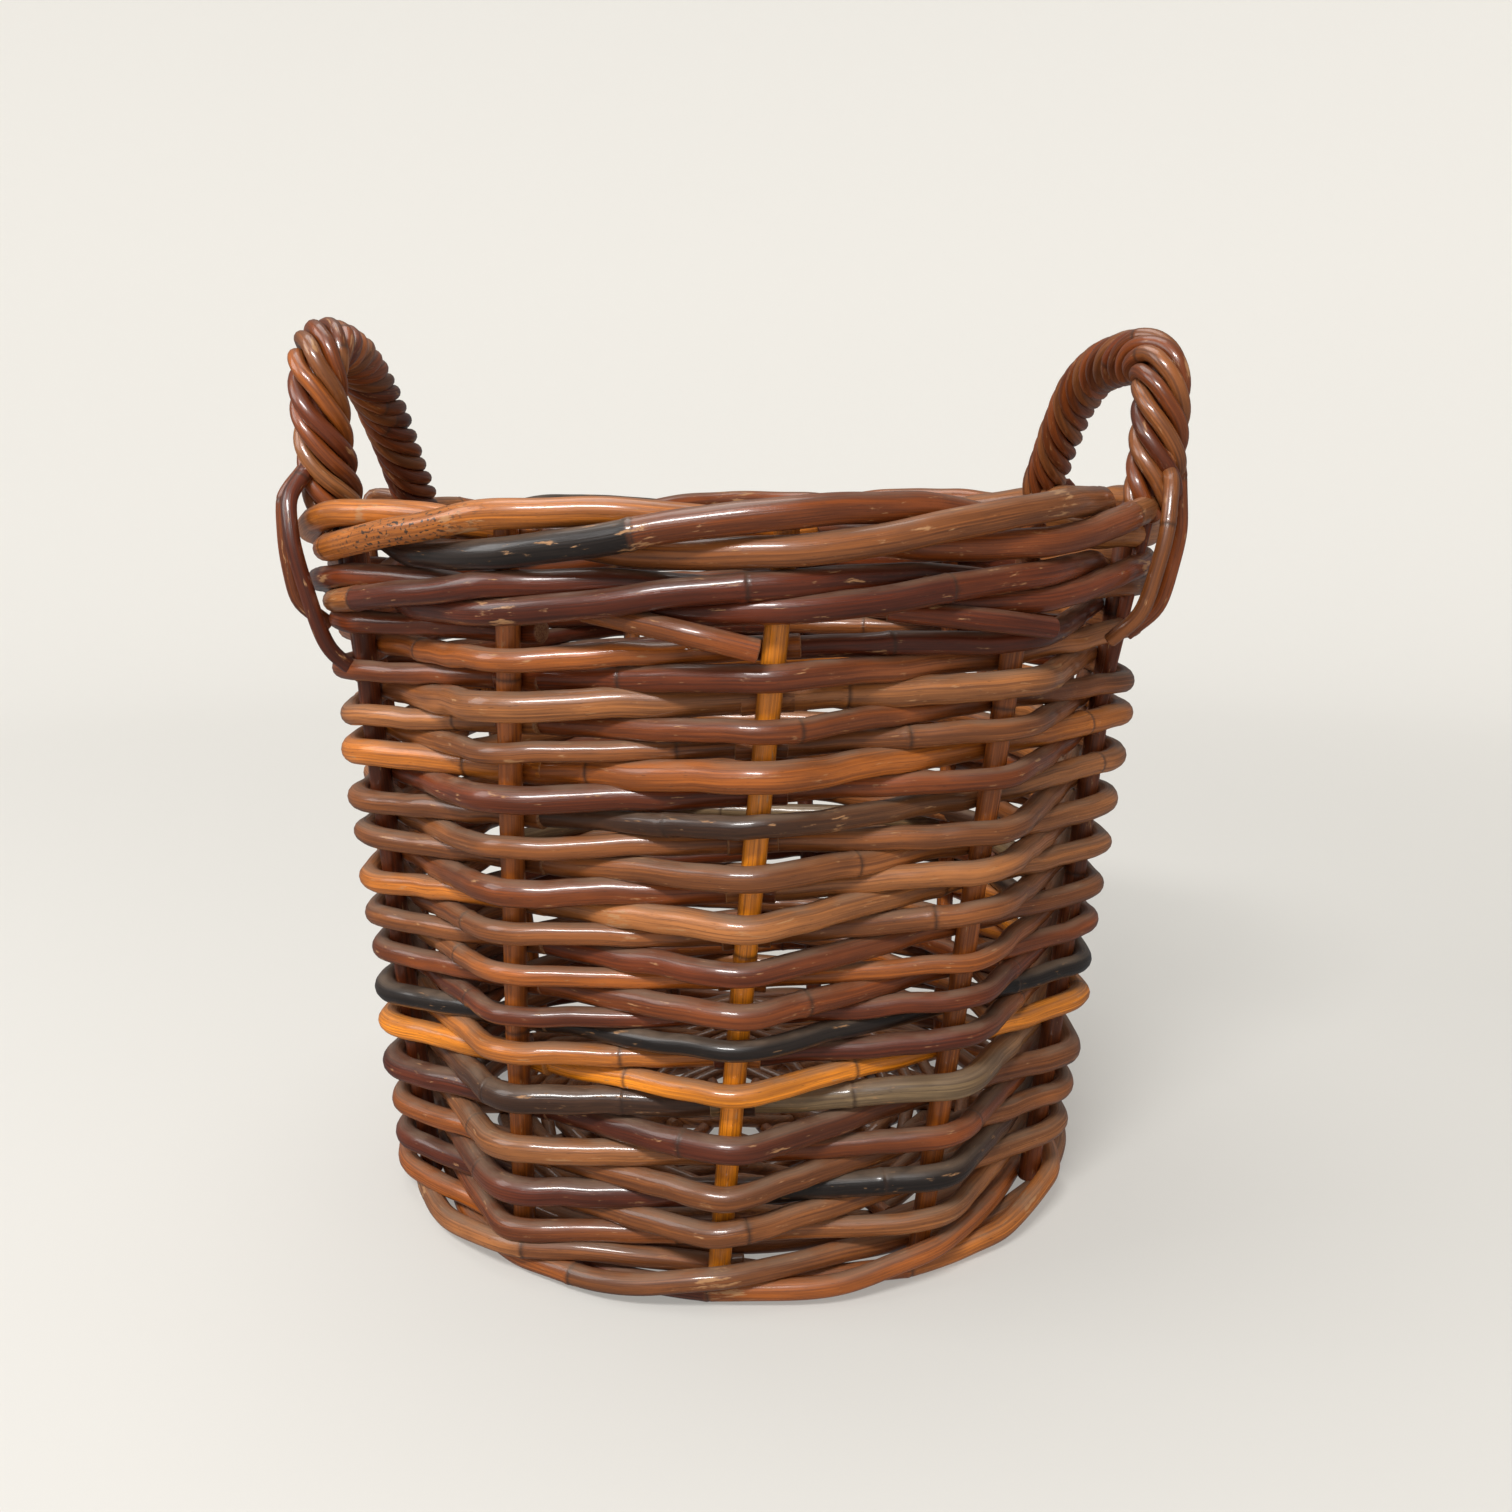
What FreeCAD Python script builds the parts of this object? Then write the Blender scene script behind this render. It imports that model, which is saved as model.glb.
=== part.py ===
"""Round wicker log basket with two roped side handles, as a parametric FreeCAD document.

The frame is +Z up, with the origin on the floor under the basket's middle. The front is -Y and the
right is +X. An angle is turned from the front towards the right, so a point at radius r and angle t
is (r sin t, -r cos t). Lengths are in millimetres and angles in degrees.

Eleven straight stakes lean outwards. One continuous line of rods is woven round them, in front of one
stake and behind the next, so an odd number of stakes brings each turn on to the other side of every
stake. Three bands of waling (the foot, the wale and the border) each have three rods, and every rod
goes in front of two stakes and behind one. The base is a hoop with crossed sticks and its own weaving.
Each handle is a bent core with six strands twisted round it, and loops that tie it to the rim.
"""

import FreeCAD, Part
import math
import os

from FreeCAD import Placement, Rotation, Vector

DRIVING_SIZES = {
    "stake_count": 11,
    "first_stake_angle": -26.73,
    "stake_diameter": 10,
    "stake_foot_z": 9.8,
    "stake_top_z": 341,
    "stake_foot_radius": 168,
    "stake_top_radius": 198,
    "stake_turn": 8.5,
    "weaver_turns": 27,
    "weaver_diameter": 10,
    "weaver_first_z": 26.2,
    "weaver_rise": 10.2,
    "weaver_front_bend": 45,
    "weaver_back_bend": 90,
    "tilt_foot": 3,
    "tilt_rim": 6.3,
    "band_tilt": 3.5,
    "band_bend": 60,
    "foot_rod_diameter": 9.4,
    "wale_rod_diameter": 10.2,
    "wale_low_z": 308.5,
    "wale_high_z": 319.5,
    "border_rod_diameter": 11.6,
    "border_low_z": 331.5,
    "border_high_z": 346.5,
    "base_z": 17,
    "hoop_inset": 18,
    "hoop_diameter": 10,
    "pierced_stick_diameter": 11,
    "threaded_stick_diameter": 7,
    "stick_spacing": 11.5,
    "base_weaver_diameter": 7,
    "base_weaver_start": 52,
    "handle_core_diameter": 9.5,
    "handle_strand_diameter": 7,
    "handle_strands": 6,
    "handle_lay": 100,
    "peg_diameter": 6,
    "peg_tip_z": 240,
}

doc = FreeCAD.newDocument("LogBasket")


def make_sheet():
    """The spreadsheet of driving sizes: a name, and a plain number under an alias of that name."""
    table = doc.addObject("Spreadsheet::Sheet", "sizes")
    for row, (alias, value) in enumerate(DRIVING_SIZES.items(), start=1):
        table.set(f"A{row}", alias)
        table.set(f"B{row}", str(value))
        table.setAlias(f"B{row}", alias)
    doc.recompute()
    return table


sheet = make_sheet()


def size(alias):
    return float(sheet.get(alias))


STAKES = int(size("stake_count"))
STAKE_STEP = 360 / STAKES
BAND_BULGE = 0.6
sub_parts = []


def keep(thing, label):
    """Marks a document object as a finished sub-part, whose label names its file."""
    thing.Label = label
    sub_parts.append(thing)
    return thing


# Places


def polar(radius, angle, height):
    turn = math.radians(angle)
    return Vector(radius * math.sin(turn), -radius * math.cos(turn), height)


def stake_end(index, top):
    angle = size("first_stake_angle") + STAKE_STEP * index
    if top:
        return polar(size("stake_top_radius"), angle, size("stake_top_z"))
    return polar(size("stake_foot_radius"), angle - size("stake_turn"), size("stake_foot_z"))


def stake_line(index, height):
    """Radius and angle of a stake's middle at a height; a fraction of an index is between stakes."""
    foot_z, top_z = size("stake_foot_z"), size("stake_top_z")
    share = (height - foot_z) / (top_z - foot_z)
    foot_r, top_r = size("stake_foot_radius"), size("stake_top_radius")
    radius = foot_r + (top_r - foot_r) * share
    angle = size("first_stake_angle") + STAKE_STEP * index - size("stake_turn") * (1 - share)
    return radius, angle


def row_tilt(height):
    """How far the woven rows rise from the middle to the right-hand side at a height."""
    share = height / size("stake_top_z")
    return size("tilt_foot") + (size("tilt_rim") - size("tilt_foot")) * share


# Rods


def bend(before, corner, after, radius):
    """The arc that rounds a corner: centre, unit vectors to its middle and along it, radius, half turn."""
    run_in, run_out = corner - before, after - corner
    along_in, along_out = Vector(run_in).normalize(), Vector(run_out).normalize()
    half = math.acos(max(-1.0, min(1.0, along_in.dot(along_out)))) / 2
    share_of_run = 0.45
    radius = min(radius, share_of_run * min(run_in.Length, run_out.Length) / math.tan(half))
    outward = (along_in - along_out).normalize()
    centre = corner - outward * (radius / math.cos(half))
    return centre, outward, (along_in + along_out).normalize(), radius, half


def arc_point(arc, share):
    """A point of a bend: share -1 is its start, 0 its middle and 1 its end."""
    centre, outward, along, radius, half = arc
    angle = half * share
    return centre + outward * (radius * math.cos(angle)) + along * (radius * math.sin(angle))


def rounded_path(points, radii, cut_ends=False):
    """Straight runs joined by tangent arcs. With cut_ends the path begins and ends in the middle of
    its first and last bend, and the first and last points only give the direction there."""
    edges = []
    position = None if cut_ends else points[0]
    last = len(points) - 2
    for i in range(1, last + 1):
        arc = bend(points[i - 1], points[i], points[i + 1], radii[i])
        begin, end = (0, 1) if cut_ends and i == 1 else (-1, 0) if cut_ends and i == last else (-1, 1)
        start, finish = arc_point(arc, begin), arc_point(arc, end)
        if position is not None:
            edges.append(Part.LineSegment(position, start).toShape())
        edges.append(Part.Arc(start, arc_point(arc, (begin + end) / 2), finish).toShape())
        position = finish
    if not cut_ends:
        edges.append(Part.LineSegment(position, points[-1]).toShape())
    return Part.Wire(edges)


def rod(name, wire, diameter_alias):
    """A round rod along a wire, as a Part sweep whose circle takes its size from the sheet."""
    path = doc.addObject("Part::Feature", f"{name}_path")
    path.Shape = wire
    circle = doc.addObject("Part::Circle", f"{name}_section")
    circle.setExpression("Radius", f"sizes.{diameter_alias} / 2")
    first = wire.Edges[0]
    heading = first.tangentAt(first.FirstParameter)
    circle.Placement = Placement(first.valueAt(first.FirstParameter), Rotation(Vector(0, 0, 1), heading))
    sweep = doc.addObject("Part::Sweep", name)
    sweep.Sections = [circle]
    sweep.Spine = (path, [f"Edge{i}" for i in range(1, len(wire.Edges) + 1)])
    sweep.Solid = True
    sweep.Frenet = False
    return sweep


def group(label, members):
    """One sub-part made of separate solids."""
    compound = doc.addObject("Part::Compound", label)
    compound.Links = members
    return keep(compound, label)


# Stakes


def make_stakes():
    for index in range(STAKES):
        foot, top = stake_end(index, top=False), stake_end(index, top=True)
        stake = doc.addObject("Part::Cylinder", f"stake_{index + 1:02d}")
        stake.setExpression("Radius", "sizes.stake_diameter / 2")
        rise = "(sizes.stake_top_z - sizes.stake_foot_z)"
        out = "(sizes.stake_top_radius * cos(sizes.stake_turn * 1 deg) - sizes.stake_foot_radius)"
        round_it = "(sizes.stake_top_radius * sin(sizes.stake_turn * 1 deg))"
        stake.setExpression("Height", f"sqrt({rise}^2 + {out}^2 + {round_it}^2)")
        stake.Placement = Placement(foot, Rotation(Vector(0, 0, 1), top - foot))
        keep(stake, f"stake_{index + 1:02d}")


# Weaving


def weaver_corner(step, bulge):
    """The corner of the weaving line at a stake. Even steps pass in front, odd steps behind."""
    height = size("weaver_first_z") + size("weaver_rise") * step / STAKES
    angle = stake_line(step % STAKES, height)[1]
    height += row_tilt(height) * math.sin(math.radians(angle))
    radius, angle = stake_line(step % STAKES, height)
    beside = (size("stake_diameter") + size("weaver_diameter")) / 2
    front = step % 2 == 0
    return polar(radius + (beside if front else -beside) + bulge, angle, height)


def weaver_corners():
    """All corners of the weaving line. A bend passes inside its corner, so the corners are moved out
    until the middles of the bends lie beside the stakes."""
    count = int(size("weaver_turns")) * STAKES + 1
    steps = range(-1, count + 1)
    radii = [size("weaver_back_bend") if step % 2 else size("weaver_front_bend") for step in steps]
    bulges = [0.0] * len(radii)
    settling_passes = 4
    for _ in range(settling_passes):
        points = [weaver_corner(step, bulge) for step, bulge in zip(steps, bulges)]
        for i in range(1, len(points) - 1):
            arc = bend(points[i - 1], points[i], points[i + 1], radii[i])
            bulges[i] = arc[3] * (1 / math.cos(arc[4]) - 1)
        bulges[0], bulges[-1] = bulges[2], bulges[-3]
    return points, radii


def make_weavers():
    points, radii = weaver_corners()
    for turn in range(int(size("weaver_turns"))):
        first = turn * STAKES
        span = slice(first, first + STAKES + 3)
        name = f"weaver_{turn + 1:02d}"
        keep(rod(name, rounded_path(points[span], radii[span], cut_ends=True), "weaver_diameter"), name)


# Bands of waling: each stop is the place in a rod's three-stake repeat, its distance out from the
# stake circle and its height.


def band_stops(low, high, rod_alias):
    beside = (size("stake_diameter") + size(rod_alias)) / 2
    crossing = -2
    middle = (low + high) / 2
    return [
        (0.0, -beside, middle),
        (0.5, crossing, low),
        (1.0, beside + BAND_BULGE, low),
        (1.5, beside + BAND_BULGE, middle),
        (2.0, beside + BAND_BULGE, high),
        (2.5, crossing, high),
    ]


def foot_stops():
    """The foot's rods lie under the stakes' ends before they rise in front of them."""
    diameter = size("foot_rod_diameter")
    beside = (size("stake_diameter") + diameter) / 2
    low = diameter / 2
    crossing_out, tucked, swelling, crossing_in = -3, 4.2, 9.5, -2
    swell_lift, front_lift, over_lift = 3, 10, 10.4
    return [
        (0.0, -beside, low * 2),
        (0.5, crossing_out, low),
        (1.0, tucked, low),
        (1.5, swelling, low + swell_lift),
        (2.0, beside + BAND_BULGE, low + front_lift),
        (2.5, crossing_in, low + over_lift),
    ]


def make_band(name, stops, rod_alias, tilt):
    """Three rods end to end that wind three times round the stakes and close on themselves."""
    repeat = 3
    turns = 3
    points = []
    for cycle in range(STAKES * turns // repeat):
        for place, out, height in stops:
            index = cycle * repeat + place
            angle = stake_line(index, height)[1]
            level = height + tilt * math.sin(math.radians(angle))
            radius, angle = stake_line(index, level)
            points.append(polar(radius + out, angle, level))
    per_turn = len(points) // turns
    ring = points[-1:] + points + points[:2]
    radii = [size("band_bend")] * (per_turn + 3)
    for turn in range(turns):
        first = turn * per_turn
        wire = rounded_path(ring[first : first + per_turn + 3], radii, cut_ends=True)
        label = f"{name}_{turn + 1}"
        keep(rod(label, wire, rod_alias), label)


def make_tails():
    """Cut ends of joined-in rods that lie outside the stakes, in the furrow under the wale."""
    diameter = size("base_weaver_diameter")
    level = size("wale_low_z") - (size("wale_rod_diameter") + diameter) / 2
    outside = (size("stake_diameter") + diameter) / 2
    drop, swell = 5, 4
    front_tail = [(0.7, outside, level + 1), (0.85, outside + swell, level), (1.03, outside, level - drop)]
    side_tail = [(1.72, outside + swell, level + drop), (1.9, outside + 2 * swell, level + drop)]
    side_tail.append((2.1, outside + 2 * swell, level + drop))
    tails = []
    for number, stops in enumerate((front_tail, side_tail), start=1):
        points = []
        for index, out, height in stops:
            radius, angle = stake_line(index, height)
            points.append(polar(radius + out, angle, height))
        wire = rounded_path(points, [size("band_bend")] * len(points))
        tails.append(rod(f"tail_{number}", wire, "base_weaver_diameter"))
    group("wale_tail_ends", tails)


# Base


def hoop_radius():
    return size("stake_foot_radius") - size("hoop_inset")


def stick_wire(offset, fan_angle, along_x):
    """A base stick: straight across the middle, then fanned out to the hoop at both ends."""
    reach = hoop_radius() - size("hoop_diameter") / 2
    straight = 1.5 * size("stick_spacing") + size("pierced_stick_diameter")
    fan = math.radians(fan_angle)
    outer = (reach * math.cos(fan), reach * math.sin(fan))
    flat = [(-outer[0], outer[1]), (-straight, offset), (straight, offset), outer]
    if offset == 0:
        flat = [flat[0], flat[-1]]
    level = size("base_z")
    points = [Vector(x, y, level) if along_x else Vector(y, x, level) for x, y in flat]
    if len(points) == 2:
        return Part.Wire([Part.LineSegment(*points).toShape()])
    return rounded_path(points, [size("band_bend")] * len(points))


def make_base_sticks():
    sides = (-1, 0, 1)
    fan = 30
    pierced, threaded = [], []
    for side in sides:
        offset = side * size("stick_spacing")
        stick = rod(f"pierced_{side + 2}", stick_wire(offset, side * fan, True), "pierced_stick_diameter")
        slit = doc.addObject("Part::Box", f"slit_{side + 2}")
        slit.setExpression("Length", "2 * sizes.stick_spacing + sizes.threaded_stick_diameter + 1")
        slit.setExpression("Width", "sizes.pierced_stick_diameter + 2")
        slit.setExpression("Height", "sizes.threaded_stick_diameter")
        slit.setExpression("Placement.Base.x", "-Length / 2 / 1 mm")
        slit.setExpression("Placement.Base.y", f"{side} * sizes.stick_spacing - Width / 2 / 1 mm")
        slit.setExpression("Placement.Base.z", "sizes.base_z - Height / 2 / 1 mm")
        cut = doc.addObject("Part::Cut", f"pierced_stick_{side + 2}")
        cut.Base, cut.Tool = stick, slit
        pierced.append(cut)
        wire = stick_wire(offset, side * fan, False)
        threaded.append(rod(f"threaded_{side + 2}", wire, "threaded_stick_diameter"))
    group("base_pierced_sticks", pierced)
    group("base_threaded_sticks", threaded)


def make_base_weavers():
    """Two rods chase each other outwards, one over each spoke where the other is under it."""
    spokes = 12
    diameter = size("base_weaver_diameter")
    start, stop = size("base_weaver_start"), hoop_radius() - size("hoop_diameter") / 2 - diameter
    gap = 0.4
    pitch = diameter + gap
    steps = int((stop - start) / (2 * pitch) * spokes)
    rods = []
    for which in (0, 1):
        points = []
        for step in range(steps):
            pierced = (step % spokes) in (2, 3, 4, 8, 9, 10)
            spoke = size("pierced_stick_diameter" if pierced else "threaded_stick_diameter")
            side = 1 if (step + which) % 2 else -1
            radius = start + pitch * (2 * step / spokes + which)
            level = size("base_z") + side * (spoke + diameter) / 2
            points.append(polar(radius, step * 360 / spokes, level))
        wire = rounded_path(points, [diameter * 2] * len(points))
        rods.append(rod(f"base_weaver_{which + 1}", wire, "base_weaver_diameter"))
    group("base_weavers", rods)


def make_base_binding():
    """A rod that binds the crossed sticks: over one bundle of three and under the next, twice round."""
    diameter = size("base_weaver_diameter")
    radius = size("base_weaver_start") - 2 * diameter
    pitch = 1.1 * diameter
    turns, bundles = 2, 4
    points = []
    for step in range(turns * bundles):
        over = step % 2 == 0
        spoke = size("threaded_stick_diameter" if over else "pierced_stick_diameter")
        level = size("base_z") + (1 if over else -1) * (spoke + diameter) / 2
        reach = radius - pitch * (1 - step / bundles)
        points.append(polar(reach, step * 360 / bundles, level))
        points.append(polar(reach, (step + 0.5) * 360 / bundles, size("base_z")))
    wire = rounded_path(points, [diameter * 2] * len(points))
    group("base_binding", [rod("binding_rod", wire, "base_weaver_diameter")])


def make_base():
    hoop = doc.addObject("Part::Torus", "base_hoop")
    hoop.setExpression("Radius1", "sizes.stake_foot_radius - sizes.hoop_inset")
    hoop.setExpression("Radius2", "sizes.hoop_diameter / 2")
    hoop.setExpression("Placement.Base.z", "sizes.base_z")
    keep(hoop, "base_hoop")
    make_base_sticks()
    make_base_weavers()
    make_base_binding()


# Handles. An arch is an outline of (along, height) corners with bend radii, in the upright plane
# through its two feet; lean is how far its top stands outside that plane.


class Handle:
    def __init__(self, side, near, far, outline, lean):
        self.side = side
        self.near, self.far = polar(*near, 0), polar(*far, 0)
        self.chord = Vector(self.far - self.near).normalize()
        self.outward = Vector(self.chord.y, -self.chord.x, 0)
        if self.outward.dot(self.near) < 0:
            self.outward = -self.outward
        self.lean = lean
        foot_z = outline[0][1]
        top_z = max(height for _, height, _ in outline)
        corners = []
        for along, height, _ in outline:
            out = lean * (height - foot_z) / (top_z - foot_z)
            corners.append(self.near + self.chord * along + self.outward * out + Vector(0, 0, height))
        self.wire = rounded_path(corners, [radius for _, _, radius in outline])

    def frame(self, distance):
        """Point on the arch, and the two directions across it, at a distance from the near foot."""
        reached = 0.0
        for edge in self.wire.OrderedEdges:
            if distance <= reached + edge.Length or edge.isSame(self.wire.OrderedEdges[-1]):
                break
            reached += edge.Length
        parameter = edge.getParameterByLength(min(distance - reached, edge.Length))
        along = edge.tangentAt(parameter)
        across = self.outward.cross(along).normalize()
        return edge.valueAt(parameter), across, along.cross(across)

    def strand(self, phase):
        """One strand's path: left-handed round the arch from foot to foot."""
        corners_per_turn = 8
        clearance = 0.1
        runs = round(self.wire.Length * corners_per_turn / size("handle_lay"))
        ring = (size("handle_core_diameter") + size("handle_strand_diameter")) / 2 + clearance
        ring /= math.sqrt(math.cos(math.pi / corners_per_turn))
        points = []
        for i in range(runs + 1):
            distance = self.wire.Length * i / runs
            turn = phase - 2 * math.pi * distance / size("handle_lay")
            point, across, outward = self.frame(distance)
            points.append(point + across * (ring * math.cos(turn)) + outward * (ring * math.sin(turn)))
        return rounded_path(points, [size("band_bend")] * len(points))

    def core(self, pegs):
        """The bow and the slim pegs at its feet that go down beside the stakes, fused to one rod."""
        bow = rod(f"{self.side}_bow", self.wire, "handle_core_diameter")
        shapes = [bow]
        ends = [self.frame(0.0)[0], self.frame(self.wire.Length)[0]]
        for number, (foot, (neck, tip)) in enumerate(zip(ends, pegs), start=1):
            cone = doc.addObject("Part::Cone", f"{self.side}_taper_{number}")
            cone.setExpression("Radius1", "sizes.handle_core_diameter / 2")
            cone.setExpression("Radius2", "sizes.peg_diameter / 2")
            cone.Height = (neck - foot).Length
            cone.Placement = Placement(foot, Rotation(Vector(0, 0, 1), neck - foot))
            knuckle = doc.addObject("Part::Sphere", f"{self.side}_knuckle_{number}")
            knuckle.setExpression("Radius", "sizes.peg_diameter / 2 + 0.2")
            knuckle.Placement.Base = neck
            heel = doc.addObject("Part::Sphere", f"{self.side}_heel_{number}")
            heel.setExpression("Radius", "sizes.handle_core_diameter / 2 + 0.2")
            heel.Placement.Base = foot
            peg = doc.addObject("Part::Cylinder", f"{self.side}_peg_{number}")
            peg.setExpression("Radius", "sizes.peg_diameter / 2")
            peg.Height = (tip - neck).Length
            peg.Placement = Placement(neck, Rotation(Vector(0, 0, 1), tip - neck))
            shapes += [cone, knuckle, heel, peg]
        whole = doc.addObject("Part::MultiFuse", f"{self.side}_handle_core")
        whole.Shapes = shapes
        keep(whole, f"{self.side}_handle_core")

    def make(self, pegs, ties):
        self.core(pegs)
        strands = []
        count = int(size("handle_strands"))
        for number in range(count):
            wire = self.strand(2 * math.pi * number / count)
            strands.append(rod(f"{self.side}_strand_{number + 1}", wire, "handle_strand_diameter"))
        group(f"{self.side}_handle_strands", strands)
        loops = [
            rod(f"{self.side}_tie_{number}", tie_wire(*tie), "handle_strand_diameter")
            for number, tie in enumerate(ties, start=1)
        ]
        group(f"{self.side}_handle_ties", loops)


def tie_wire(start, angle, turn):
    """A strand that leaves the handle, bows out over the border and tucks in under the wale. Each
    stop is a radius, a share of the turn round the basket and a height."""
    stops = [(start, 0.0, 374), (221.5, 0.4, 354), (223.5, 0.8, 329), (219.5, 1.0, 307), (207, 1.0, 297)]
    tilt = size("band_tilt") * math.sin(math.radians(angle))
    points = [polar(radius, angle + turn * share, height + tilt) for radius, share, height in stops]
    return rounded_path(points, [size("band_bend")] * len(points))


def peg_beside(index, side_angle, neck_z):
    """A peg's neck in the border and its tip down in the weave, beside a stake."""
    ends = []
    for height in (neck_z, size("peg_tip_z")):
        radius, angle = stake_line(index, height)
        ends.append(polar(radius, angle + side_angle, height))
    return ends


def peg_inside(angle, neck_z):
    """A peg's neck and tip against the inner face of the wall, between two stakes."""
    ends = []
    inset = size("stake_diameter") / 2 + size("border_rod_diameter") + size("peg_diameter") / 2
    for height in (neck_z, size("peg_tip_z")):
        radius = stake_line(0, height)[0]
        ends.append(polar(radius - inset, angle, height))
    return ends


def make_handles():
    beside = 2.7
    left_foot, left_neck = 355, 348
    left_outline = [
        (3, left_foot, 0),
        (-5, 382, 60),
        (-5, 425, 26),
        (62, 421, 90),
        (118, 397, 120),
        (173, left_foot, 0),
    ]
    left_pegs = [peg_beside(10, -beside, left_neck), peg_beside(8, beside, left_neck)]
    left_ties = [(214, -64, -3), (214, -66.5, -6), (214, -118, 3), (214, -115.5, 6)]
    Handle("left", (202, -64), (202, -117.5), left_outline, 3).make(left_pegs, left_ties)
    right_foot, right_neck, inner_neck = 361, 352, 353
    right_outline = [
        (-6, right_foot, 0),
        (-7, 420, 30),
        (98, 422, 60),
        (150, 397, 120),
        (188, right_foot, 0),
    ]
    right_pegs = [peg_beside(3, -beside, right_neck), peg_inside(121, inner_neck)]
    right_ties = [(223, 65, 2), (223, 68, 4), (220, 118.5, -3), (220, 116, -6)]
    Handle("right", (209, 66), (206, 118.5), right_outline, 2).make(right_pegs, right_ties)


def check_and_export():
    doc.recompute()
    for thing in doc.Objects:
        if "Invalid" in thing.State or "Error" in thing.State:
            raise RuntimeError(f"{thing.Label} did not compute: {thing.State}")
    os.makedirs("parts", exist_ok=True)
    for part in sub_parts:
        shape = part.Shape
        if shape.isNull() or not shape.isValid() or not shape.Solids:
            raise RuntimeError(f"{part.Label} has no valid solid")
        print(f"{part.Label}: {len(shape.Solids)} solids, {shape.Volume / 1000:.2f} cm3")
        shape.exportStep(f"parts/{part.Label}.step")


make_stakes()
make_weavers()
make_band("foot_wale", foot_stops(), "foot_rod_diameter", 0)
wale = band_stops(size("wale_low_z"), size("wale_high_z"), "wale_rod_diameter")
make_band("upper_wale", wale, "wale_rod_diameter", size("band_tilt"))
border = band_stops(size("border_low_z"), size("border_high_z"), "border_rod_diameter")
make_band("border", border, "border_rod_diameter", size("band_tilt"))
make_tails()
make_base()
make_handles()
check_and_export()
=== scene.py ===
"""The looks of the wicker log basket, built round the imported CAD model.

Every rod above the base is a tube made here, along the line that the CAD rods take, with real
thickness, nodes, cut ends and small wanderings. The base keeps its CAD rods, which get a grain of their
own. All lengths are metres. An angle is turned from the front (-Y)
towards the right (+X). A place along the weaving is a step: step n passes stake n modulo the number of
stakes, in front of it when n is even and behind it when n is odd.
"""

import math
import random

import bpy
import numpy as np
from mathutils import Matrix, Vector


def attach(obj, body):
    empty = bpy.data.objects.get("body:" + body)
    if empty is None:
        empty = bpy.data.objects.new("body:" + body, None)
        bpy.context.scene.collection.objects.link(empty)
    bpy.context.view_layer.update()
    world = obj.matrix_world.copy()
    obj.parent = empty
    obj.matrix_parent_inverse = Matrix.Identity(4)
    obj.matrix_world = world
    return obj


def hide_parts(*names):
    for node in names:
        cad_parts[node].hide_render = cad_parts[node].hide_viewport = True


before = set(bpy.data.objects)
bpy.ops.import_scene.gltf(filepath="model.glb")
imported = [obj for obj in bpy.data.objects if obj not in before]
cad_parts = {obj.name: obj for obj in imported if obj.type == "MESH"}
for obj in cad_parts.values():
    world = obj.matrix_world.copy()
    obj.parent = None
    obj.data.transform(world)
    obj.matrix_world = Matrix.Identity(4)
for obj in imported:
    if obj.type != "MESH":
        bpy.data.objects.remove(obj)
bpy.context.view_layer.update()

BODY = "root"
MM = 0.001
TAU = 2 * math.pi
UP = np.array([0, 0, 1.0])
dice = random.Random(11)

# ---------------------------------------------------------------------------------------------------
# What the CAD model says
# ---------------------------------------------------------------------------------------------------


def nodes_of(start):
    return sorted(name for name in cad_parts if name.startswith(start))


def cad_points(name):
    """The vertices of a CAD node, as rows of x, y, z."""
    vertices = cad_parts[name].data.vertices
    flat = np.empty(3 * len(vertices))
    vertices.foreach_get("co", flat)
    return flat.reshape(-1, 3)


def as_polar(points):
    """Radius, angle and height of each point."""
    points = np.atleast_2d(points)
    return np.hypot(points[:, 0], points[:, 1]), np.arctan2(points[:, 0], -points[:, 1]), points[:, 2]


def polar(radius, angle, height):
    return np.stack([radius * np.sin(angle), -radius * np.cos(angle), height + 0 * radius], axis=-1)


def middle(values):
    return (values.min() + values.max()) / 2


STAKES = len(nodes_of("stake_"))
TURNS = len(nodes_of("weaver_"))
STEP = TAU / STAKES


def stake_ends():
    """Radius, angle and height of the first stake's foot and top, from its CAD cylinder."""
    points = cad_points(nodes_of("stake_")[0])
    half = middle(points[:, 2])
    ends = []
    for ring in (points[points[:, 2] < half], points[points[:, 2] > half]):
        centre = [middle(ring[:, axis]) for axis in range(3)]
        ends.append([float(value[0]) for value in as_polar(centre)])
    return ends


(FOOT_RADIUS, FOOT_ANGLE, FOOT_Z), (TOP_RADIUS, TOP_ANGLE, TOP_Z) = stake_ends()
STAKE_RADIUS = 5 * MM


def stake_line(index, height):
    """Radius and angle of a stake's middle at a height. A fraction of an index is between stakes."""
    share = (height - FOOT_Z) / (TOP_Z - FOOT_Z)
    radius = FOOT_RADIUS + (TOP_RADIUS - FOOT_RADIUS) * share
    return radius, FOOT_ANGLE + (TOP_ANGLE - FOOT_ANGLE) * share + STEP * index


def near_stake(points, index, width=math.radians(3)):
    """Height and distance outside the stake's middle, for the CAD points that pass a stake."""
    radius, angle, height = as_polar(points)
    line_radius, line_angle = stake_line(index, height)
    aside = (angle - line_angle + math.pi) % TAU - math.pi
    beside = np.abs(aside) < width
    return height[beside], (radius - line_radius)[beside]


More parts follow.
